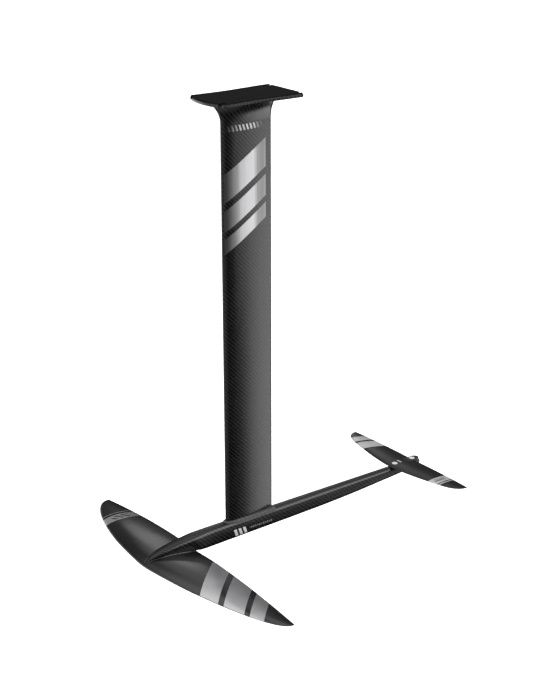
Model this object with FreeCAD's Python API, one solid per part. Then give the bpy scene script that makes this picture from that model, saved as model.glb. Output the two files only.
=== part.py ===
import FreeCAD, Part
import math
import os

from FreeCAD import Vector

# Carbon hydrofoil: board plate, mast, fuselage, front wing and stabilizer.
# Millimetres. +X points forward (towards the front wing), +Y to port, +Z up.
# The origin is the centre of the top face that bears against the board.

os.makedirs("parts", exist_ok=True)

# Board plate and pad
plate_rear_x = -95.9
plate_front_side_x = 84.0
plate_front_apex_x = 95.5
plate_end_half_width = 55.0
plate_waist_half_width = 51.0
plate_corner_r = 5.0
# Along each flank: share of the way to that end, share of the waist given back
plate_rear_flank = ((1.0, 1.0), (0.62, 0.875), (0.24, 0.3))
plate_front_flank = ((0.22, 0.0), (0.62, 0.55), (1.0, 1.0))
pad_thickness = 2.0
plate_thickness = 6.0
pad_inset = 1.6
plate_edge_chamfer = 1.2
track_half_spacing = 45.0
slot_half_width = 4.25
slot_end_x = 78.0
slot_overcut = 10.0

# Mast
mast_lead_x = 55.5
mast_trail_x = -58.9
mast_thickness = 15.0
mast_tail_blunt = 1.8
mast_wall = 2.0
mast_nose_wall = 3.0
mast_tail_wall = 9.0
mast_bottom_z = -851.0
flare_height = 42.0
flare_reach = 22.0
flare_power = 2.3
flare_rear_share = 0.8
flare_roundness = 0.75
flare_steps = 7
head_block_depth = 62.0
head_block_top_gap = 4.0
foot_block_height = 52.0
web_x = 22.0
web_thickness = 2.6

# Mast foot: tenon, screws and inserts
tenon_half_length = 47.0
tenon_half_thickness = 5.2
tenon_bottom_z = -876.0
tenon_play = 0.15
foot_insert_length = 14.0
foot_screw_grip = 13.0
foot_screw_x = (-34.0, 0.0, 34.0)
collar_half_width = 12.0
collar_front_x = 62.0
collar_rear_x = -61.5
collar_nose_length = 34.0
collar_low_z = -862.0
collar_chamfer = 1.0

# Fuselage: x, top z, bottom z, half width
fuselage_stations = (
    (-458.6, -855.2, -860.8, 5.2),
    (-457.6, -854.2, -863.0, 7.2),
    (-453.0, -853.7, -865.4, 8.8),
    (-441.0, -853.6, -868.4, 9.3),
    (-415.0, -853.6, -872.2, 9.9),
    (-375.0, -853.6, -875.8, 10.3),
    (-340.0, -853.6, -878.2, 10.8),
    (-285.0, -853.6, -882.0, 11.6),
    (-197.0, -853.6, -886.2, 12.6),
    (-72.0, -853.6, -889.3, 13.6),
    (30.0, -853.6, -891.2, 14.3),
    (88.0, -853.6, -892.4, 14.8),
    (112.0, -854.1, -892.4, 15.6),
    (125.0, -854.7, -891.2, 16.2),
    (134.0, -855.2, -889.3, 16.4),
    (148.0, -856.3, -888.8, 15.8),
    (166.0, -858.2, -888.8, 14.8),
    (188.0, -861.2, -888.6, 13.6),
    (211.0, -865.4, -888.4, 12.0),
    (226.0, -869.8, -888.2, 9.9),
    (237.0, -874.8, -888.0, 7.3),
    (245.0, -880.2, -887.9, 4.2),
    (249.4, -884.2, -887.6, 1.6),
)
fuselage_exponent = 2.9
fuselage_wall = 2.4
cavity_front_x = 226.0
cavity_rear_x = -449.0
nose_block_rear_x = 118.0
mast_block_half_length = 66.0
tail_block_front_x = -362.0
bond_gap = 0.05
tail_insert_low = -864.0
tail_insert_high = -855.4

# Front wing
wing_half_span = 326.6
wing_root_chord = 118.9
wing_trail_x = 133.84
wing_trail_sweep = (-13.04, 20.51, -9.97)
wing_trail_z = -888.93
wing_anhedral = (7.04, -30.2, 3.88)
wing_incidence_rise = (1.45, 0.2)
wing_chord_law = (-0.31, 0.06)
wing_thickness_ratio = 0.118
wing_tip_thickness_ratio = 0.095
wing_camber = 0.030
wing_tail_blunt = 1.0
wing_skin = 1.2
wing_nose_wall = 4.0
wing_tail_wall = 14.0
wing_core_span = 0.84
wing_root_block_half = 34.0
wing_screw_x = (163.0, 203.0)
wing_insert_length = 12.0

# Stabilizer
stab_half_span = 182.9
stab_root_chord = 62.96
stab_trail_x = -438.84
stab_trail_sweep = (-3.9, 8.99, 0.0)
stab_trail_z = -851.54
stab_rise = (1.53, 0.49, 0.0)
stab_incidence_rise = (-0.56, 0.0)
stab_chord_law = (-0.316, 0.515)
stab_thickness_ratio = 0.086
stab_tip_thickness_ratio = 0.080
stab_camber = 0.010
stab_tail_blunt = 0.8
stab_screw_x = (-391.9, -440.9)
tongue_half_width = 8.9
tongue_rear_x = -457.6
tongue_front_x = -398.0
tongue_top_z = -849.5
tongue_bottom_z = -854.3
tongue_round = 1.0

# Fasteners, all M6: radii of shank, clearance hole, head and insert, and the key size
M6 = {"shank": 3.0, "hole": 3.3, "head": 6.0, "insert": 4.2, "key": 2.0}
screw_seat_gap = 0.05
thread_gap = 0.05
flange_thickness = 1.0
flange_overhang = 0.8
head_recess = 0.3
stab_head_recess = 0.15
key_depth = 1.8
sink_mouth = 6.0
bore_mouth = 3.0
tail_bore_mouth = 8.0

# How finely the section curves are described
span_fractions = (0.0, 0.16, 0.32, 0.48, 0.62, 0.74, 0.84, 0.91, 0.955, 0.982, 0.995)
points_per_side = 17
quarter_points = 8

# Further than any part reaches, for slabs that cut pieces to length
far = 1000.0


def save(name, shape):
    """Write one named piece, after checking that it is one or more good solids."""
    solids = shape.Solids
    piece = solids[0] if len(solids) == 1 else Part.makeCompound(solids)
    print(name, "solids", len(solids), "valid", piece.isValid(), "cc", round(piece.Volume / 1000, 2))
    piece.exportStep("parts/" + name + ".step")


def biggest(shape):
    """The largest solid of a boolean's result."""
    return max(shape.Solids, key=lambda solid: solid.Volume)


def slab(x_low, x_high, y_low, y_high, z_low, z_high):
    size = (x_high - x_low, y_high - y_low, z_high - z_low)
    return Part.makeBox(*size, Vector(x_low, y_low, z_low))


def upright(radius, x, y, z_low, z_high):
    return Part.makeCylinder(radius, z_high - z_low, Vector(x, y, z_low))


def heights_at(shape, x):
    """Lowest and highest point of a shape on the vertical line through (x, 0)."""
    line = Part.makeLine(Vector(x, 0, -far), Vector(x, 0, far))
    crossings = [vertex.Z for vertex in shape.common(line).Vertexes]
    return min(crossings), max(crossings)


def thickness_shape(s):
    """Half thickness of a four-digit section at chord fraction s, as a share of its peak."""
    rise = 0.2969 * math.sqrt(s) - 0.126 * s - 0.3516 * s**2
    return (rise + 0.2843 * s**3 - 0.1036 * s**4) / 0.1


def chord_fractions():
    """Fractions from trailing edge (1) to leading edge (0), close together at the nose."""
    last = points_per_side - 1
    return [1 - math.sin(0.5 * math.pi * i / last) for i in range(points_per_side)]


def closed_section(upper, lower):
    """A wire from the trailing edge over the top, round the nose and back underneath."""
    curve = Part.BSplineCurve()
    curve.interpolate(upper + lower[-2::-1])
    edges = [curve.toShape()]
    edges.append(Part.makeLine(lower[0], upper[0]))
    return Part.Wire(edges)


def mast_section(z, lead, trail, thickness, blunt, roundness):
    """Symmetric section of the mast at height z. Roundness 0 is a foil, 1 an ellipse."""
    sides = ([], [])
    for s in chord_fractions():
        ellipse = math.sqrt(max(0.0, 1 - (2 * s - 1) ** 2))
        shape = (1 - roundness) * thickness_shape(s) + roundness * ellipse
        half = 0.5 * thickness * shape + 0.5 * blunt * s
        x = lead + (trail - lead) * s
        sides[0].append(Vector(x, half, z))
        sides[1].append(Vector(x, -half, z))
    return closed_section(*sides)


def mast_solid(nose_wall, tail_wall, wall, top_z):
    """The mast with its flared head, or the hollow inside it when walls are given."""
    flare_top = -pad_thickness - plate_thickness
    flare_base = flare_top - flare_height
    wires = []
    for step in range(flare_steps + 1):
        z = flare_base + (top_z - flare_base) * step / flare_steps
        rise = (z - flare_base) / flare_height
        reach = flare_reach * rise**flare_power
        wires.append(
            mast_section(
                z,
                mast_lead_x + reach - nose_wall,
                mast_trail_x - flare_rear_share * reach + tail_wall,
                mast_thickness + 2 * reach - 2 * wall,
                mast_tail_blunt * (1 if wall == 0 else 0.5),
                flare_roundness * rise,
            )
        )
    flare = Part.makeLoft(wires, True, False)
    shaft = Part.Face(wires[0]).extrude(Vector(0, 0, mast_bottom_z - flare_base))
    return biggest(shaft.fuse(flare))


def wing_law(span_share, first_terms):
    """Sum of a share's powers times the given terms."""
    return sum(term * span_share ** (k + 1) for k, term in enumerate(first_terms))


def foil_wing(spec, nose_wall=0.0, tail_wall=0.0, skin=0.0, reach=1.0):
    """A full-span wing, or the hollow inside it when walls are given."""
    shares = [share * reach for share in span_fractions]
    wires = []
    for side_share in [-share for share in reversed(shares[1:])] + shares:
        share = abs(side_share)
        law = 1 + spec["chord_law"][0] * share**2 + spec["chord_law"][1] * share**4
        chord = spec["chord"] * math.sqrt(1 - share**2) * law
        relative = chord / spec["chord"]
        trail_x = spec["trail_x"] + wing_law(share, spec["sweep"])
        trail_z = spec["trail_z"] + wing_law(share, spec["rise"])
        tilt = (spec["incidence"][0] + spec["incidence"][1] * share**2) * relative
        ratio = spec["ratio"] + (spec["tip_ratio"] - spec["ratio"]) * share
        sides = ([], [])
        first = nose_wall / chord
        last = 1 - tail_wall / chord
        for s in chord_fractions():
            t = first + (last - first) * s
            mean = 4 * spec["camber"] * chord * t * (1 - t)
            half = 0.5 * ratio * chord * thickness_shape(t)
            half += 0.5 * spec["blunt"] * relative * t
            if skin:
                ends = thickness_shape(s) ** 0.5 if s < 0.3 else 1.0
                half = max(0.12, (half - skin) * min(1.0, ends))
                half = half if 0.0 < s else 0.0
            x = trail_x + chord * (1 - t)
            z = trail_z + tilt * (1 - t) + mean
            y = side_share * spec["half_span"]
            sides[0].append(Vector(x, y, z + half))
            sides[1].append(Vector(x, y, z - half))
        wires.append(closed_section(*sides))
    return Part.makeLoft(wires, True, False)


def fuselage_ring(x, top, bottom, half_width):
    """A rounded box outline across the fuselage: four corners that meet on its mid-lines."""
    centre = 0.5 * (top + bottom)
    half_height = 0.5 * (top - bottom)
    power = 2 / fuselage_exponent
    along = (Vector(0, 0, 1), Vector(0, -1, 0), Vector(0, 0, -1), Vector(0, 1, 0))
    corners = []
    for quarter in range(4):
        points = []
        for k in range(quarter_points + 1):
            share = 0.5 - 0.5 * math.cos(math.pi * k / quarter_points)
            angle = 0.5 * math.pi * (quarter + share)
            c = math.cos(angle)
            s = math.sin(angle)
            y = half_width * math.copysign(abs(c) ** power, c)
            z = centre + half_height * math.copysign(abs(s) ** power, s)
            points.append(Vector(x, y, z))
        curve = Part.BSplineCurve()
        start, end = along[quarter], along[(quarter + 1) % 4]
        curve.interpolate(Points=points, InitialTangent=start, FinalTangent=end)
        corners.append(curve.toShape())
    return Part.Wire(corners)


def fuselage_solid(wall, x_low, x_high):
    """The fuselage between two stations, thinner all round by the wall."""
    wires = []
    for x, top, bottom, half_width in fuselage_stations:
        if x_low <= x <= x_high:
            wires.append(fuselage_ring(x, top - wall, bottom + wall, half_width - wall))
    return Part.makeLoft(wires, True, False)


def stadium(x_low, x_high, half_width, z_low, z_high):
    """A straight-sided bar with half-round ends."""
    bar = slab(x_low + half_width, x_high - half_width, -half_width, half_width, z_low, z_high)
    bar = bar.fuse(upright(half_width, x_low + half_width, 0, z_low, z_high))
    bar = bar.fuse(upright(half_width, x_high - half_width, 0, z_low, z_high))
    return bar.removeSplitter()


def countersunk_screw(size, x, head_z, tip_z, up):
    """A countersunk screw with a hex key recess. Up is +1 when its head faces down."""
    head_r = size["head"]
    shank_r = size["shank"]
    cone = Part.makeCone(
        head_r, shank_r, head_r - shank_r, Vector(x, 0, head_z), Vector(0, 0, up)
    )
    shank = Part.makeCylinder(shank_r, abs(tip_z - head_z), Vector(x, 0, head_z), Vector(0, 0, up))
    screw = cone.fuse(shank).removeSplitter()
    corners = []
    for k in range(7):
        angle = math.pi * k / 3
        corners.append(
            Vector(x + size["key"] * math.cos(angle), size["key"] * math.sin(angle), head_z)
        )
    key = Part.Face(Part.makePolygon(corners)).extrude(Vector(0, 0, up * key_depth))
    return screw.cut(key)


def countersink(size, x, head_z, far_z, up):
    """The hole that a countersunk screw passes through, with its head's seat."""
    gap = screw_seat_gap
    depth = size["head"] - size["shank"]
    seat = Part.makeCone(
        size["head"] + gap, size["shank"] + gap, depth, Vector(x, 0, head_z), Vector(0, 0, up)
    )
    mouth = Part.makeCylinder(size["head"] + gap, sink_mouth, Vector(x, 0, head_z), Vector(0, 0, -up))
    shaft = Part.makeCylinder(
        size["hole"], abs(far_z - head_z), Vector(x, 0, head_z), Vector(0, 0, up)
    )
    return seat.fuse([mouth, shaft])


def threaded_insert(size, x, z_low, z_high, flange_below):
    """A flanged metal sleeve bonded in carbon, with the screw's hole in it."""
    body = upright(size["insert"], x, 0, z_low, z_high)
    rim_z = z_low if flange_below else z_high - flange_thickness
    flange = upright(size["insert"] + flange_overhang, x, 0, rim_z, rim_z + flange_thickness)
    sleeve = body.fuse(flange).removeSplitter()
    return sleeve.cut(upright(size["shank"] + thread_gap, x, 0, z_low - 1, z_high + 1))


def insert_bore(size, x, mouth_z, face_z, end_z, flange_below):
    """The stepped hole that a threaded insert is bonded into, open towards its mouth."""
    seat_z = face_z + flange_thickness * (1 if flange_below else -1)
    low, high = sorted((mouth_z, end_z))
    bores = [upright(size["insert"], x, 0, low, high)]
    low, high = sorted((mouth_z, seat_z))
    bores.append(upright(size["insert"] + flange_overhang, x, 0, low, high))
    return bores


def wing_insert_base(wing, x):
    """Where a wing insert's flange clears the wing's curved top."""
    rim = M6["insert"] + flange_overhang
    return max(heights_at(wing, at)[1] for at in (x - rim, x, x + rim)) + bond_gap


def plate_outline(inset, z):
    """Plate outline: straight rear edge, waisted sides and a bowed front edge."""
    rear = plate_rear_x + inset
    side = plate_front_side_x - 0.5 * inset
    apex = plate_front_apex_x - inset
    wide = plate_end_half_width - inset
    waist = plate_waist_half_width - inset
    stations = [(rear * out, waist + back * (wide - waist)) for out, back in plate_rear_flank]
    stations += [(side * out, waist + back * (wide - waist)) for out, back in plate_front_flank]
    flanks = []
    for hand in (1, -1):
        curve = Part.BSplineCurve()
        curve.interpolate([Vector(x, hand * half_width, z) for x, half_width in stations])
        flanks.append(curve.toShape())
    front = Part.Arc(Vector(side, wide, z), Vector(apex, 0, z), Vector(side, -wide, z))
    edges = flanks + [front.toShape()]
    edges.append(Part.makeLine(Vector(rear, -wide, z), Vector(rear, wide, z)))
    return Part.Wire(Part.__sortEdges__(edges))


def board_slots():
    """Four screw slots on the board's track spacing, open to the short edges."""
    z_low = -pad_thickness - plate_thickness - slot_overcut
    z_high = slot_overcut
    cutters = []
    for end in (-1, 1):
        for side in (-1, 1):
            y = side * track_half_spacing
            x_low, x_high = sorted((end * slot_end_x, end * (plate_front_apex_x + slot_overcut)))
            low, high = y - slot_half_width, y + slot_half_width
            cutters.append(slab(x_low, x_high, low, high, z_low, z_high))
            cutters.append(upright(slot_half_width, end * slot_end_x, y, z_low, z_high))
    return cutters


def upright_edges(shape):
    """The corner edges that run straight up the plate."""
    found = []
    for edge in shape.Edges:
        box = edge.BoundBox
        if box.XLength < 0.01 and box.YLength < 0.01 and box.ZLength > 0.5:
            found.append(edge)
    return found


def make_plate():
    """The board plate and the grip pad bonded on top of it."""
    bottom = -pad_thickness - plate_thickness
    face = Part.Face(plate_outline(0.0, bottom))
    plate = face.extrude(Vector(0, 0, plate_thickness))
    plate = plate.makeFillet(plate_corner_r, upright_edges(plate))
    rim = []
    for edge in plate.Edges:
        if edge.BoundBox.ZLength < 0.01:
            rim.append(edge)
    plate = plate.makeChamfer(plate_edge_chamfer, rim)
    plate = plate.cut(board_slots())
    pad = Part.Face(plate_outline(pad_inset, -pad_thickness)).extrude(Vector(0, 0, pad_thickness))
    pad = pad.makeFillet(plate_corner_r - pad_inset, upright_edges(pad))
    save("board_plate", plate)
    save("board_pad", pad.cut(board_slots()))


def make_mast():
    """Hollow carbon mast with its webs, foam cores, head block and foot block."""
    flare_top = -pad_thickness - plate_thickness
    hollow_top = flare_top - head_block_top_gap
    outer = mast_solid(0.0, 0.0, 0.0, flare_top)
    inner = mast_solid(mast_nose_wall, mast_tail_wall, mast_wall, hollow_top)
    save("mast_skin", outer.cut(inner))

    head_z = -head_block_depth
    foot_z = mast_bottom_z + foot_block_height

    def layer(x_low, x_high, z_low, z_high):
        return inner.common(slab(x_low, x_high, -far, far, z_low, z_high))

    save("mast_head_block", layer(-far, far, head_z, 0.0))
    web_edges = (-web_x - web_thickness / 2, -web_x + web_thickness / 2)
    fore_edges = (web_x - web_thickness / 2, web_x + web_thickness / 2)
    save("mast_core_rear", layer(-far, web_edges[0], foot_z, head_z))
    save("mast_web_rear", layer(web_edges[0], web_edges[1], foot_z, head_z))
    save("mast_core_middle", layer(web_edges[1], fore_edges[0], foot_z, head_z))
    save("mast_web_front", layer(fore_edges[0], fore_edges[1], foot_z, head_z))
    save("mast_core_front", layer(fore_edges[1], far, foot_z, head_z))

    block = layer(-far, far, mast_bottom_z, foot_z)
    tenon = stadium(
        -tenon_half_length,
        tenon_half_length,
        tenon_half_thickness,
        tenon_bottom_z,
        mast_bottom_z + foot_block_height / 2,
    )
    block = biggest(block.fuse(tenon.common(block.fuse(below_mast(tenon_bottom_z)))))
    holes = []
    for number, x in enumerate(foot_screw_x, 1):
        top = tenon_bottom_z + foot_insert_length
        insert = threaded_insert(M6, x, tenon_bottom_z, top, True)
        save("mast_insert_%d" % number, insert)
        holes += insert_bore(M6, x, tenon_bottom_z - 1, tenon_bottom_z, top, True)
    save("mast_foot_block", block.cut(holes))


def below_mast(z_low):
    """The space under the mast's foot that its tenon stands in."""
    half = mast_thickness / 2
    return slab(mast_trail_x, mast_lead_x, -half, half, z_low - 1, mast_bottom_z)


def tenon_pocket():
    """The fuselage's socket for the tenon."""
    return stadium(
        -tenon_half_length - tenon_play,
        tenon_half_length + tenon_play,
        tenon_half_thickness + tenon_play,
        tenon_bottom_z - tenon_play,
        mast_bottom_z + 1.0,
    )


def make_collar(body):
    """The fairing between mast foot and fuselage: rounded ahead, square behind."""
    low = collar_low_z
    rear = slab(
        collar_rear_x,
        collar_front_x - collar_nose_length,
        -collar_half_width,
        collar_half_width,
        low,
        mast_bottom_z,
    )
    centre = Vector(collar_front_x - collar_nose_length, 0, low)
    oval = Part.Ellipse(
        Vector(collar_front_x, 0, low),
        centre + Vector(0, collar_half_width, 0),
        centre,
    )
    nose = Part.Face(Part.Wire(oval.toShape())).extrude(Vector(0, 0, mast_bottom_z - low))
    collar = rear.fuse(nose).removeSplitter()
    top_edges = []
    for edge in collar.Edges:
        box = edge.BoundBox
        if box.ZLength < 0.01 and box.ZMin > mast_bottom_z - 0.01:
            top_edges.append(edge)
    collar = collar.makeChamfer(collar_chamfer, top_edges)
    save("mast_collar", biggest(collar.cut(body).cut(tenon_pocket())))


def make_fuselage(wing, stabilizer):
    """Carbon fuselage shell with its solid blocks and foam cores."""
    body = fuselage_solid(0.0, -far, far)
    cavity = fuselage_solid(fuselage_wall, cavity_rear_x, cavity_front_x)
    make_collar(body)

    mast_cuts = [tenon_pocket()]
    for number, x in enumerate(foot_screw_x, 1):
        head_z = heights_at(body, x)[0] + head_recess
        mast_cuts.append(countersink(M6, x, head_z, tenon_bottom_z, 1))
        screw = countersunk_screw(M6, x, head_z, tenon_bottom_z + foot_screw_grip, 1)
        save("mast_screw_%d" % number, screw)
    nose_cuts = [wing]
    nose_bores = []
    for x in wing_screw_x:
        low = wing_insert_base(wing, x)
        nose_bores += insert_bore(M6, x, low - bore_mouth, low, low + wing_insert_length, True)
    tail_cuts = [stabilizer]
    tail_bores = []
    for x in stab_screw_x:
        high = tail_insert_high
        tail_bores += insert_bore(M6, x, high + tail_bore_mouth, high, tail_insert_low, False)

    shell = body.cut(cavity).cut(mast_cuts + nose_cuts + tail_cuts)
    shell = shell.cut(tail_bores + nose_bores)
    save("fuselage_shell", biggest(shell))

    def block(x_low, x_high, cuts):
        piece = cavity.common(slab(x_low, x_high, -far, far, -far, 0.0))
        return biggest(piece.cut(cuts)) if cuts else biggest(piece)

    half = mast_block_half_length
    save("fuselage_nose_block", block(nose_block_rear_x, far, nose_cuts + nose_bores))
    save("fuselage_core_front", block(half, nose_block_rear_x, []))
    save("fuselage_mast_block", block(-half, half, mast_cuts))
    save("fuselage_core_rear", block(tail_block_front_x, -half, []))
    save("fuselage_tail_block", block(-far, tail_block_front_x, tail_cuts + tail_bores))


front_wing_spec = {
    "half_span": wing_half_span,
    "chord": wing_root_chord,
    "chord_law": wing_chord_law,
    "trail_x": wing_trail_x,
    "sweep": wing_trail_sweep,
    "trail_z": wing_trail_z,
    "rise": wing_anhedral,
    "incidence": wing_incidence_rise,
    "ratio": wing_thickness_ratio,
    "tip_ratio": wing_tip_thickness_ratio,
    "camber": wing_camber,
    "blunt": wing_tail_blunt,
}
stabilizer_spec = {
    "half_span": stab_half_span,
    "chord": stab_root_chord,
    "chord_law": stab_chord_law,
    "trail_x": stab_trail_x,
    "sweep": stab_trail_sweep,
    "trail_z": stab_trail_z,
    "rise": stab_rise,
    "incidence": stab_incidence_rise,
    "ratio": stab_thickness_ratio,
    "tip_ratio": stab_tip_thickness_ratio,
    "camber": stab_camber,
    "blunt": stab_tail_blunt,
}


def make_front_wing(wing):
    """Front wing skin, its root block, its two foam cores, screws and inserts."""
    hollow = foil_wing(front_wing_spec, wing_nose_wall, wing_tail_wall, wing_skin, wing_core_span)
    cuts = []
    for number, x in enumerate(wing_screw_x, 1):
        low = wing_insert_base(wing, x)
        top = low + wing_insert_length
        head_z = heights_at(wing, x)[0] + head_recess
        cuts.append(countersink(M6, x, head_z, low, 1))
        save("wing_screw_%d" % number, countersunk_screw(M6, x, head_z, top - 1.0, 1))
        save("wing_insert_%d" % number, threaded_insert(M6, x, low, top, True))
    save("front_wing_skin", wing.cut(hollow).cut(cuts))
    half = wing_root_block_half
    root = hollow.common(slab(0, far, -half, half, -far, 0))
    save("front_wing_root_block", root.cut(cuts))
    save("front_wing_core_port", hollow.common(slab(0, far, half, far, -far, 0)))
    save("front_wing_core_starboard", hollow.common(slab(0, far, -far, -half, -far, 0)))


def make_stabilizer(stabilizer):
    """The stabilizer with its two screws and their inserts in the tail."""
    cuts = []
    for number, x in enumerate(stab_screw_x, 1):
        head_z = heights_at(stabilizer, x)[1] - stab_head_recess
        cuts.append(countersink(M6, x, head_z, tail_insert_high, -1))
        screw = countersunk_screw(M6, x, head_z, tail_insert_low + 1.0, -1)
        save("stabilizer_screw_%d" % number, screw)
        insert = threaded_insert(M6, x, tail_insert_low, tail_insert_high, False)
        save("tail_insert_%d" % number, insert)
    save("stabilizer", biggest(stabilizer.cut(cuts)))


def stabilizer_solid():
    """The stabilizer's foil and the tongue that carries its rear screw."""
    foil = foil_wing(stabilizer_spec)
    tongue = stadium(
        tongue_rear_x, tongue_front_x, tongue_half_width, tongue_bottom_z, tongue_top_z
    )
    top_edges = []
    for edge in tongue.Edges:
        box = edge.BoundBox
        if box.ZLength < 0.01 and box.ZMin > tongue_top_z - 0.01:
            top_edges.append(edge)
    tongue = tongue.makeFillet(tongue_round, top_edges)
    return biggest(foil.fuse(tongue))


make_plate()
make_mast()
front_wing = foil_wing(front_wing_spec)
stabilizer_shape = stabilizer_solid()
make_fuselage(front_wing, stabilizer_shape)
make_front_wing(front_wing)
make_stabilizer(stabilizer_shape)
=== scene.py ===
import math

import bmesh
import bpy
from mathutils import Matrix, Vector


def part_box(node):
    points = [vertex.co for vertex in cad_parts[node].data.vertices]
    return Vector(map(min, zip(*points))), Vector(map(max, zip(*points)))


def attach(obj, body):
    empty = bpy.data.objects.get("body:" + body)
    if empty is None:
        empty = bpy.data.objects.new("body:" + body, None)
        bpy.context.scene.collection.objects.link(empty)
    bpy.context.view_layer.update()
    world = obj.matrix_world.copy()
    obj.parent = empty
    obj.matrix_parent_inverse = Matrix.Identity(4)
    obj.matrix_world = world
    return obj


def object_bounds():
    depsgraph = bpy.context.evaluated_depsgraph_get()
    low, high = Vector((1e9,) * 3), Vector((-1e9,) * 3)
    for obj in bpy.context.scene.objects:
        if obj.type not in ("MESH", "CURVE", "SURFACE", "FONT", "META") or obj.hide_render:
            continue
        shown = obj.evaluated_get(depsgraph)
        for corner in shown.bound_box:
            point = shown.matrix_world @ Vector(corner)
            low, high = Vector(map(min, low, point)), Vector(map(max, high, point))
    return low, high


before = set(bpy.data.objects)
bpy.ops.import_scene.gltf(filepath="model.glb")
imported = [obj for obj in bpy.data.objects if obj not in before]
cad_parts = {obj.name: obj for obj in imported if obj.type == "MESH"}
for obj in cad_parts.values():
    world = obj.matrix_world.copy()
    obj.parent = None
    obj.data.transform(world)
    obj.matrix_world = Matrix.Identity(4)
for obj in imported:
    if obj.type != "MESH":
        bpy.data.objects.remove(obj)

cad_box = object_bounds()
scene = bpy.context.scene
MM = 0.001

# Camera: where it stands in the part's frame, its turn and its lens
CAMERA_PLACE = Vector((1.6553, 2.2890, 0.5631))
CAMERA_AZIMUTH = 142.821
CAMERA_ELEVATION = 20.608
CAMERA_LENS = 80.08
FLOOR_DROP = 0.42
FLOOR_SIZE = 40.0
FLOOR_GLOW = 0.7
DOME_RADIUS = 0.7 * FLOOR_SIZE

# Soft light from the world: direction, where its patch starts and is full (as cosines), strength
SKY_PATCHES = (
    # Faint general light above the horizon
    ((0.0, 0.0, 1.0), 0.0, 0.2, 0.11),
    # Overhead
    ((0.0, 0.0, 1.0), 0.58, 0.88, 1.3),
    # The fuselage's bright shoulder
    ((-0.57, 0.62, 0.53), 0.89, 0.985, 5.0),
    # The ridge along the starboard wing
    ((-0.53, -0.765, 0.36), 0.989, 0.999, 0.9),
    # The band along the port wing
    ((-0.49, -0.68, 0.555), 0.975, 0.998, 0.5),
    # The mast's upper middle
    ((-0.58, 0.79, -0.14), 0.968, 0.998, 0.9),
    # The mast's trailing half
    ((-0.84, 0.42, -0.36), 0.91, 0.995, 2.4),
    # From straight below
    ((0.0, 0.0, -1.0), 0.8, 1.0, 0.4),
    # Low light on the starboard side, from behind
    ((-0.86, -0.42, -0.30), 0.90, 0.995, 2.0),
    # Low light from ahead
    ((0.90, -0.40, -0.10), 0.4, 0.9, 1.2),
    # Weak low light on the port side, from ahead
    ((0.50, 0.83, -0.26), 0.8, 0.97, 0.3),
    # Low light on the starboard side
    ((0.15, -0.95, -0.30), 0.80, 0.97, 1.5),
)

# Carbon cloth
MAST_TOW = 2.1 * MM
WING_TOW = 1.3 * MM
FUSELAGE_TOW = 2.4 * MM
EDGE = 0.25 * MM
WARP_METAL = 0.9
FUSELAGE_GIRTH_RADIUS = 16 * MM

# Silver print: its roughness, how metallic it is, and its dark and light tones
SILVER_ROUGHNESS = 0.34
SILVER_METAL = 0.6
# On the mast the blend towards the dark tone is painted shade at the leading and trailing edges
MAST_SILVER = ((0.04, 0.04, 0.04), (0.54, 0.54, 0.55))
# On the front wing the blend towards the light tone is a painted highlight towards the leading
# edge
WING_SILVER = ((0.23, 0.23, 0.24), (0.46, 0.46, 0.47))
STAB_SILVER = ((0.38, 0.38, 0.39), (0.80, 0.80, 0.81))
FUSELAGE_SILVER = ((0.5, 0.5, 0.5), (0.75, 0.75, 0.75))

# Bead along the joint of fuselage and front wing. The ray down to the wing starts
# BEAD_START_DROP below the plate's top, and the ray in to the fuselage starts
# BEAD_SIDE_START from the middle
BEAD_RADIUS = 0.7 * MM
BEAD_SIDE = 17 * MM
BEAD_REAR = 5 * MM
BEAD_NOSE_GAP = 4 * MM
BEAD_POINTS = 24
BEAD_SIDE_START = 0.06
BEAD_START_DROP = 0.7

# Print on the mast: bars with their slope, ends and rows at the rear end, then a row of ticks
MAST_BAR_SLOPE = -0.6
MAST_BAR_REAR = -45 * MM
MAST_BAR_FRONT = 52 * MM
MAST_BARS = ((-140, -85), (-196, -155), (-238, -209))
MAST_TAIL_EDGE = -56.8 * MM
TICK_TOP = -53 * MM
TICK_BOTTOM = -64 * MM
TICK_STEP = 8.4 * MM
TICK_ENDS = (-30, 40)
TICK_FADE = 12 * MM
PRINT_LEAN = 0.35

# Print on the wings: bars with their slope and places along the trailing edge, a band and a line
WING_BAR_SLOPE = 0.97
WING_BAR_REAR = 141 * MM
WING_BARS = ((75, 128), (144, 202), (217, 256))
WING_BAND = (-225, -196)
WING_LINE = (-236, -233.5)
WING_HATCH_X = (152, 192)
WING_HATCH_STEP = 15 * MM
STAB_BAR_SLOPE = 0.35
STAB_BAR_REAR = -438 * MM
STAB_BARS = ((-150, -126), (-118, -84))
STAB_BAND = (109, 131)
STAB_LINE = (134.5, 137.5)
STAB_HATCH_X = (-428, -398)
STAB_HATCH_STEP = 8 * MM
STAB_LABEL_X = (-408, -403.5)
STAB_LABEL_Y = (-8, 5)
HATCH_MARGIN = 5
HATCH_LEAN = 0.6

# Print on the fuselage, below the mast: three small bars and a row of faint dashes.
# MARK_SPAN is measured along the slanted axis that leans by PRINT_LEAN
MARK_Z = (-884, -869)
MARK_SPAN = (319, 352)
MARK_STEP = 11 * MM
DASH_Z = (-877, -873)
DASH_X = (-50, 6)
DASH_STEP = 5 * MM
DASH_STRENGTH = 0.25


def grey(level):
    return (level, level, level)


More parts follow.
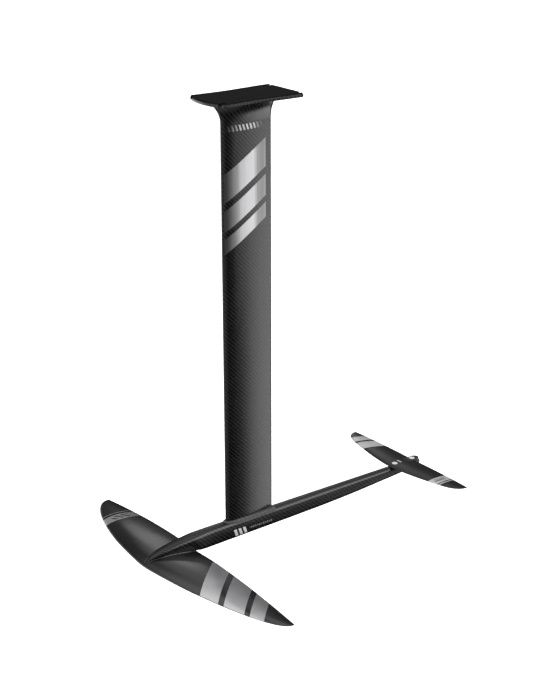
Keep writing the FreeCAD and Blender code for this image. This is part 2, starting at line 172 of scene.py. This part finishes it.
class Tree:
    """Short names for the shader nodes that the materials are built from."""

    def __init__(self, name, **constants):
        self.material = bpy.data.materials.new(name)
        self.material.use_nodes = True
        self.nodes = self.material.node_tree.nodes
        self.links = self.material.node_tree.links
        self.shader = self.nodes["Principled BSDF"]
        for socket, value in constants.items():
            self.shader.inputs[socket.replace("_", " ")].default_value = value
        self.place = self.nodes.new("ShaderNodeTexCoord").outputs["Object"]
        split = self.nodes.new("ShaderNodeSeparateXYZ")
        self.links.new(self.place, split.inputs[0])
        self.x, self.y, self.z = split.outputs

    def put(self, socket, value):
        if isinstance(value, (int, float)):
            socket.default_value = value
        else:
            self.links.new(value, socket)

    def math(self, operation, a, b=0.0, c=0.0):
        node = self.nodes.new("ShaderNodeMath")
        node.operation = operation
        for socket, value in zip(node.inputs, (a, b, c)):
            self.put(socket, value)
        return node.outputs[0]

    def add(self, a, b):
        return self.math("ADD", a, b)

    def sub(self, a, b):
        return self.math("SUBTRACT", a, b)

    def mul(self, a, b):
        return self.math("MULTIPLY", a, b)

    def either(self, *masks):
        """The largest of several masks."""
        result = masks[0]
        for mask in masks[1:]:
            result = self.math("MAXIMUM", result, mask)
        return result

    def top_side(self):
        """1 on surfaces that face up, fading out round the leading edge."""
        split = self.nodes.new("ShaderNodeSeparateXYZ")
        normal = self.nodes.new("ShaderNodeNewGeometry").outputs["Normal"]
        self.links.new(normal, split.inputs[0])
        return self.rise(0.45, 0.60, split.outputs[2])

    def rise(self, low, high, value):
        """0 below low, 1 above high, and a smooth rise between."""
        node = self.nodes.new("ShaderNodeMapRange")
        node.interpolation_type = "SMOOTHSTEP"
        self.put(node.inputs["Value"], value)
        node.inputs["From Min"].default_value = low
        node.inputs["From Max"].default_value = high
        return node.outputs["Result"]

    def between(self, low, high, value, soft=EDGE):
        """1 where the value lies between low and high, with soft edges."""
        start = self.rise(low - soft, low + soft, value)
        stop = self.rise(high - soft, high + soft, value)
        return self.mul(start, self.sub(1.0, stop))

    def within(self, ends, value, soft=EDGE):
        """1 where the value lies between two ends, which are given in millimetres."""
        return self.between(ends[0] * MM, ends[1] * MM, value, soft)

    def noise(self, scale, detail=3.0, stretch=(1.0, 1.0, 1.0)):
        mapping = self.nodes.new("ShaderNodeMapping")
        mapping.inputs["Scale"].default_value = stretch
        self.links.new(self.place, mapping.inputs["Vector"])
        node = self.nodes.new("ShaderNodeTexNoise")
        node.inputs["Scale"].default_value = scale
        node.inputs["Detail"].default_value = detail
        self.links.new(mapping.outputs[0], node.inputs["Vector"])
        return node.outputs["Fac"]

    def blend(self, share, first, second):
        """A colour between two, each given as three levels or as a socket."""
        node = self.nodes.new("ShaderNodeMix")
        node.data_type = "RGBA"
        self.put(node.inputs["Factor"], share)
        for name, value in (("A", first), ("B", second)):
            socket = [s for s in node.inputs if s.name == name and s.type == "RGBA"][0]
            if isinstance(value, tuple):
                socket.default_value = (*value, 1.0)
            else:
                self.links.new(value, socket)
        return [s for s in node.outputs if s.type == "RGBA"][0]

    def level(self, share, first, second):
        """A number between two."""
        return self.add(first, self.mul(share, self.sub(second, first)))

    def bump(self, height, distance, strength=1.0):
        node = self.nodes.new("ShaderNodeBump")
        node.inputs["Strength"].default_value = strength
        node.inputs["Distance"].default_value = distance
        self.put(node.inputs["Height"], height)
        return node.outputs["Normal"]

    def set(self, socket, value):
        self.put(self.shader.inputs[socket], value)


def twill(tree, u, v):
    """Two-over-two twill. Returns where the warp lies on top, and the tows' height."""
    row = tree.math("FLOOR", v)
    column = tree.math("FLOOR", u)
    step = tree.math("FLOORED_MODULO", tree.add(row, column), 4.0)
    warp = tree.math("LESS_THAN", step, 1.5)
    across_warp = tree.math("SINE", tree.mul(tree.math("FRACT", u), math.pi))
    across_weft = tree.math("SINE", tree.mul(tree.math("FRACT", v), math.pi))
    height = tree.level(warp, across_weft, across_warp)
    return warp, height


def carbon(name, u_of, v_of, tow, tones, roughness, gloss_step, depth, **constants):
    """Clear-coated twill carbon. u_of and v_of give the cloth's directions."""
    tree = Tree(name, **constants)
    u = tree.mul(u_of(tree), 1 / tow)
    v = tree.mul(v_of(tree), 1 / tow)
    warp, height = twill(tree, u, v)
    drift = tree.noise(9.0, 4.0)
    fibre = tree.noise(900.0, 2.0)
    share = tree.mul(warp, tree.add(0.6, tree.mul(height, 0.3)))
    share = tree.add(share, tree.mul(tree.sub(drift, 0.5), 0.15))
    share = tree.add(share, tree.mul(tree.sub(fibre, 0.5), 0.1))
    colour = tree.blend(share, *tones)
    rough = tree.add(roughness, tree.mul(tree.sub(drift, 0.5), 0.1))
    rough = tree.add(rough, tree.mul(warp, gloss_step))
    tree.set("Normal", tree.bump(height, depth, 0.5))
    return tree, colour, rough, tree.mul(warp, WARP_METAL)


def finished(tree, colour, rough, metal):
    tree.set("Base Color", colour)
    tree.set("Roughness", rough)
    tree.set("Metallic", metal)
    return tree.material


def silvered(tree, colour, rough, metal, mask, tones, shade):
    """Silver print over the cloth where the mask is 1, between two tones by the shade."""
    silver = tree.blend(shade, *tones)
    colour = tree.blend(mask, colour, silver)
    rough = tree.level(mask, rough, SILVER_ROUGHNESS)
    return finished(tree, colour, rough, tree.level(mask, metal, SILVER_METAL))


def mast_material():
    tree, colour, rough, metal = carbon(
        "mast_carbon",
        lambda t: t.mul(t.x, -1.0),
        lambda t: t.z,
        MAST_TOW,
        (grey(0.001), grey(0.070)),
        0.22,
        0.06,
        0.08 * MM,
        Coat_Roughness=0.12,
        Specular_IOR_Level=0.45,
    )
    inboard = tree.rise(MAST_TAIL_EDGE - 0.5 * MM, MAST_TAIL_EDGE + 0.5 * MM, tree.x)
    tree.set("Coat Weight", tree.mul(inboard, 0.4))
    rough = tree.level(inboard, 0.8, rough)
    along = tree.sub(tree.z, tree.mul(tree.sub(tree.x, MAST_BAR_REAR), MAST_BAR_SLOPE))
    bars = [tree.within(ends, along) for ends in MAST_BARS]
    bars = tree.mul(tree.either(*bars), tree.between(MAST_BAR_REAR, MAST_BAR_FRONT, tree.x))
    lean = tree.sub(tree.x, tree.mul(tree.z, PRINT_LEAN))
    cell = tree.math("FRACT", tree.mul(lean, 1 / TICK_STEP))
    ticks = tree.mul(
        tree.between(0.15, 0.62, cell, 0.03), tree.between(TICK_BOTTOM, TICK_TOP, tree.z)
    )
    ticks = tree.mul(ticks, tree.within(TICK_ENDS, tree.x, TICK_FADE))
    streaks = tree.rise(0.3, 0.7, tree.noise(90.0, 3.0, (1.0, 0.0, 0.02)))
    # Painted reflection: the silver darkens towards the leading edge and towards the trailing
    # edge, with light mid-chord; the streaks are the print's own uneven tone
    shade = tree.rise(54 * MM, 4 * MM, tree.x)
    painted_trailing_shade = tree.sub(1.0, tree.mul(tree.rise(-16 * MM, -26 * MM, tree.x), 0.66))
    shade = tree.mul(tree.mul(shade, painted_trailing_shade), tree.level(streaks, 0.72, 1.15))
    mask = tree.either(bars, ticks)
    return silvered(tree, colour, rough, metal, mask, MAST_SILVER, shade)


def wing_carbon(name, coat):
    return carbon(
        name,
        lambda t: t.x,
        lambda t: t.y,
        WING_TOW,
        (grey(0.006), grey(0.045)),
        0.20,
        0.02,
        0.01 * MM,
        Coat_Weight=coat,
        Coat_Roughness=0.12,
        Specular_IOR_Level=0.35,
    )


def hatched(tree, band, x_ends, step):
    """A solid band across the wing with slanted gaps in its middle."""
    solid = tree.within(band, tree.y)
    inner = tree.within((band[0] + HATCH_MARGIN, band[1] - HATCH_MARGIN), tree.y)
    inner = tree.mul(inner, tree.within(x_ends, tree.x))
    lean = tree.add(tree.x, tree.mul(tree.y, HATCH_LEAN))
    cell = tree.math("FRACT", tree.mul(lean, 1 / step))
    gaps = tree.mul(inner, tree.between(0.1, 0.55, cell, 0.03))
    return tree.sub(solid, gaps)


def front_wing_material():
    tree, colour, rough, metal = wing_carbon("front_wing_carbon", 0.45)
    slant = tree.mul(tree.sub(tree.x, WING_BAR_REAR), WING_BAR_SLOPE)
    along = tree.sub(tree.y, slant)
    bars = [tree.within(ends, along) for ends in WING_BARS]
    band = hatched(tree, WING_BAND, WING_HATCH_X, WING_HATCH_STEP)
    line = tree.within(WING_LINE, tree.y)
    mask = tree.mul(tree.either(*bars, band, line), tree.top_side())
    # Painted highlight: the silver brightens towards the leading edge, standing in for the
    # reflection there; the drift is the print's own uneven tone
    sweep = tree.sub(tree.x, tree.mul(tree.math("ABSOLUTE", tree.y), -0.12))
    drift = tree.mul(tree.sub(tree.noise(30.0, 2.0), 0.5), 0.5)
    shade = tree.add(tree.rise(165 * MM, 235 * MM, sweep), drift)
    return silvered(tree, colour, rough, metal, mask, WING_SILVER, shade)


def stabilizer_material():
    tree, colour, rough, metal = wing_carbon("stabilizer_carbon", 0.05)
    slant = tree.mul(tree.sub(tree.x, STAB_BAR_REAR), STAB_BAR_SLOPE)
    along = tree.add(tree.y, slant)
    bars = [tree.within(ends, along) for ends in STAB_BARS]
    band = hatched(tree, STAB_BAND, STAB_HATCH_X, STAB_HATCH_STEP)
    line = tree.within(STAB_LINE, tree.y)
    label = tree.mul(tree.within(STAB_LABEL_X, tree.x), tree.within(STAB_LABEL_Y, tree.y))
    mask = tree.mul(tree.either(*bars, band, line, label), tree.top_side())
    shade = tree.noise(30.0, 2.0)
    return silvered(tree, colour, rough, metal, mask, STAB_SILVER, shade)


def fuselage_material():
    low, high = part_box("fuselage_shell")
    middle = (low.z + high.z) / 2

    def girth(t):
        """Distance round the fuselage from its port side, on a mean radius."""
        angle = t.math("ARCTAN2", t.sub(t.z, middle), t.y)
        return t.mul(angle, FUSELAGE_GIRTH_RADIUS)

    tree, colour, rough, metal = carbon(
        "fuselage_carbon",
        lambda t: t.mul(t.x, -1.0),
        girth,
        FUSELAGE_TOW,
        (grey(0.001), grey(0.040)),
        0.20,
        0.10,
        0.12 * MM,
        Coat_Weight=0.25,
        Coat_Roughness=0.1,
        Specular_IOR_Level=0.2,
    )
    lean = tree.sub(tree.x, tree.mul(tree.z, PRINT_LEAN))
    mark = tree.mul(tree.within(MARK_Z, tree.z), tree.within(MARK_SPAN, lean))
    cell = tree.math("FRACT", tree.mul(lean, 1 / MARK_STEP))
    mark = tree.mul(mark, tree.between(0.2, 0.8, cell, 0.03))
    dash = tree.mul(tree.within(DASH_Z, tree.z), tree.within(DASH_X, tree.x))
    cell = tree.math("FRACT", tree.mul(lean, 1 / DASH_STEP))
    dash = tree.mul(tree.mul(dash, tree.between(0.2, 0.8, cell, 0.05)), DASH_STRENGTH)
    mask = tree.either(mark, dash)
    shade = tree.noise(60.0, 2.0)
    return silvered(tree, colour, rough, metal, mask, FUSELAGE_SILVER, shade)


def collar_material():
    tree, colour, rough, metal = carbon(
        "collar_carbon_painted_light",
        lambda t: t.x,
        lambda t: t.y,
        FUSELAGE_TOW,
        # Lighter tones than the other carbon: painted light standing in for the lit top of the
        # collar
        (grey(0.055), grey(0.085)),
        0.40,
        0.02,
        0.02 * MM,
        Coat_Weight=0.1,
        Coat_Roughness=0.2,
        Specular_IOR_Level=0.2,
    )
    return finished(tree, colour, rough, tree.mul(metal, 0.2))


def plate_material():
    tree, colour, rough, metal = carbon(
        "plate_carbon",
        lambda t: t.x,
        lambda t: t.y,
        MAST_TOW,
        (grey(0.002), grey(0.050)),
        0.22,
        0.05,
        0.03 * MM,
        Coat_Weight=0.3,
        Coat_Roughness=0.1,
        Specular_IOR_Level=0.2,
    )
    return finished(tree, colour, rough, metal)


def pad_material():
    tree = Tree("pad_rubber", Specular_IOR_Level=0.08)
    grain = tree.noise(1400.0, 3.0)
    wear = tree.noise(22.0, 5.0)
    tree.set("Base Color", tree.blend(wear, grey(0.003), grey(0.007)))
    tree.set("Roughness", tree.level(wear, 0.75, 0.95))
    tree.set("Normal", tree.bump(grain, 0.25 * MM, 0.7))
    return tree.material


def steel_material():
    tree = Tree("stainless", Metallic=0.4)
    grain = tree.noise(2500.0, 2.0)
    tree.set("Base Color", tree.blend(grain, (0.86, 0.85, 0.83), (0.96, 0.95, 0.93)))
    tree.set("Roughness", tree.level(grain, 0.22, 0.34))
    return tree.material


def plain_material(name, dark, light, scale, rough):
    tree = Tree(name)
    grain = tree.noise(scale, 4.0)
    tree.set("Base Color", tree.blend(grain, dark, light))
    tree.set("Roughness", tree.level(grain, rough, rough + 0.15))
    tree.set("Normal", tree.bump(grain, 0.1 * MM, 0.5))
    return tree.material


def bead_material():
    tree = Tree("joint_sealant", Coat_Weight=1.0, Coat_Roughness=0.08)
    grain = tree.noise(400.0, 3.0)
    tree.set("Base Color", tree.blend(grain, grey(0.012), grey(0.030)))
    tree.set("Roughness", tree.level(grain, 0.2, 0.4))
    return tree.material


def floor_material():
    tree = Tree("floor", Roughness=0.9, Emission_Strength=FLOOR_GLOW)
    tree.shader.inputs["Emission Color"].default_value = (1, 1, 1, 1)
    grain = tree.noise(3.0, 2.0)
    tree.set("Base Color", tree.blend(grain, grey(0.90), grey(0.93)))
    return tree.material


def camera():
    data = bpy.data.cameras.new("camera")
    data.lens = CAMERA_LENS
    data.sensor_width = 36.0
    data.clip_end = 100.0
    azimuth = math.radians(CAMERA_AZIMUTH)
    elevation = math.radians(CAMERA_ELEVATION)
    back = Vector(
        (
            math.sin(azimuth) * math.cos(elevation),
            -math.cos(azimuth) * math.cos(elevation),
            math.sin(elevation),
        )
    )
    item = bpy.data.objects.new("camera", data)
    item.rotation_euler = back.to_track_quat("Z", "Y").to_euler()
    item.location = CAMERA_PLACE
    scene.collection.objects.link(item)
    scene.camera = item


def studio_world():
    """White light from soft patches round set directions, added together."""
    world = bpy.data.worlds.new("studio")
    world.use_nodes = True
    nodes = world.node_tree.nodes
    links = world.node_tree.links
    way = nodes.new("ShaderNodeTexCoord").outputs["Generated"]

    def facing(direction, low, high, strength):
        """A soft patch of light around a direction."""
        dot = nodes.new("ShaderNodeVectorMath")
        dot.operation = "DOT_PRODUCT"
        links.new(way, dot.inputs[0])
        dot.inputs[1].default_value = Vector(direction).normalized()
        rise = nodes.new("ShaderNodeMapRange")
        rise.interpolation_type = "SMOOTHSTEP"
        rise.inputs["From Min"].default_value = low
        rise.inputs["From Max"].default_value = high
        rise.inputs["To Max"].default_value = strength
        links.new(dot.outputs["Value"], rise.inputs["Value"])
        return rise.outputs["Result"]

    total = None
    for patch in SKY_PATCHES:
        share = facing(*patch)
        if total is None:
            total = share
            continue
        node = nodes.new("ShaderNodeMath")
        node.operation = "ADD"
        links.new(total, node.inputs[0])
        links.new(share, node.inputs[1])
        total = node.outputs[0]
    links.new(total, nodes["Background"].inputs["Strength"])
    nodes["Background"].inputs["Color"].default_value = (1, 1, 1, 1)
    scene.world = world


def backdrop(material):
    """A white dome far behind everything, which only the camera sees."""
    mesh = bpy.data.meshes.new("backdrop")
    dome = bmesh.new()
    bmesh.ops.create_uvsphere(dome, u_segments=32, v_segments=16, radius=DOME_RADIUS)
    dome.to_mesh(mesh)
    dome.free()
    item = bpy.data.objects.new("backdrop", mesh)
    item.visible_glossy = False
    item.visible_diffuse = False
    item.visible_shadow = False
    scene.collection.objects.link(item)
    mesh.materials.append(material)


def stage():
    """A pale floor, the dome behind it and the world's light."""
    material = floor_material()
    floor = bpy.data.meshes.new("floor")
    half = FLOOR_SIZE / 2
    z = cad_box[0].z - FLOOR_DROP
    corners = [(-half, -half, z), (half, -half, z), (half, half, z), (-half, half, z)]
    floor.from_pydata(corners, [], [(0, 1, 2, 3)])
    item = bpy.data.objects.new("floor", floor)
    item.visible_glossy = False
    item.visible_shadow = False
    scene.collection.objects.link(item)
    floor.materials.append(material)
    backdrop(material)
    studio_world()


def surface_points(name, starts, way):
    """Where rays that start at the given points first meet a CAD node."""
    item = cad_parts[name]
    found = []
    for start in starts:
        hit, place = item.ray_cast(start, way)[:2]
        if hit:
            found.append(place)
    return found


def joint_bead(hand):
    """The thin bead of sealant where the fuselage's nose meets the front wing's top."""
    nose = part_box("fuselage_shell")[1].x
    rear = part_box("front_wing_skin")[0].x + BEAD_REAR
    points = []
    for k in range(BEAD_POINTS):
        share = k / (BEAD_POINTS - 1)
        x = rear + (nose - BEAD_NOSE_GAP - rear) * math.sin(0.5 * math.pi * share)
        high = Vector((x, hand * BEAD_SIDE, cad_box[1].z - BEAD_START_DROP))
        top = surface_points("front_wing_skin", [high], Vector((0, 0, -1)))
        if not top:
            continue
        side = Vector((x, hand * BEAD_SIDE_START, top[0].z + BEAD_RADIUS))
        points += surface_points("fuselage_shell", [side], Vector((0, -hand, 0)))
    curve = bpy.data.curves.new("wing_joint_bead", "CURVE")
    curve.dimensions = "3D"
    curve.bevel_depth = BEAD_RADIUS
    curve.bevel_resolution = 3
    spline = curve.splines.new("NURBS")
    spline.points.add(len(points) - 1)
    for target, place in zip(spline.points, points):
        target.co = (*place, 1.0)
    spline.order_u = 3
    spline.use_endpoint_u = True
    curve.use_fill_caps = True
    side_name = "port" if hand > 0 else "starboard"
    item = bpy.data.objects.new("wing_joint_bead_" + side_name, curve)
    item.data.materials.append(bead_material())
    scene.collection.objects.link(item)
    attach(item, "root")


MATERIALS = {
    "mast_skin": mast_material,
    "board_pad": pad_material,
    "board_plate": plate_material,
    "mast_collar": collar_material,
    "fuselage_shell": fuselage_material,
    "front_wing_skin": front_wing_material,
    "stabilizer": stabilizer_material,
}


def dress_cad_nodes():
    block = plain_material("solid_carbon", grey(0.01), grey(0.05), 300.0, 0.5)
    foam = plain_material("core_foam", (0.62, 0.56, 0.40), (0.80, 0.75, 0.58), 900.0, 0.8)
    brass = plain_material("brass", (0.45, 0.33, 0.12), (0.65, 0.50, 0.22), 700.0, 0.3)
    steel = steel_material()
    for name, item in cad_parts.items():
        if name in MATERIALS:
            material = MATERIALS[name]()
        elif "screw" in name:
            material = steel
        elif "insert" in name:
            material = brass
        elif "core" in name:
            material = foam
        else:
            material = block
        item.data.materials.clear()
        item.data.materials.append(material)


camera()
stage()
dress_cad_nodes()
joint_bead(1)
joint_bead(-1)

scene.view_settings.view_transform = "Standard"
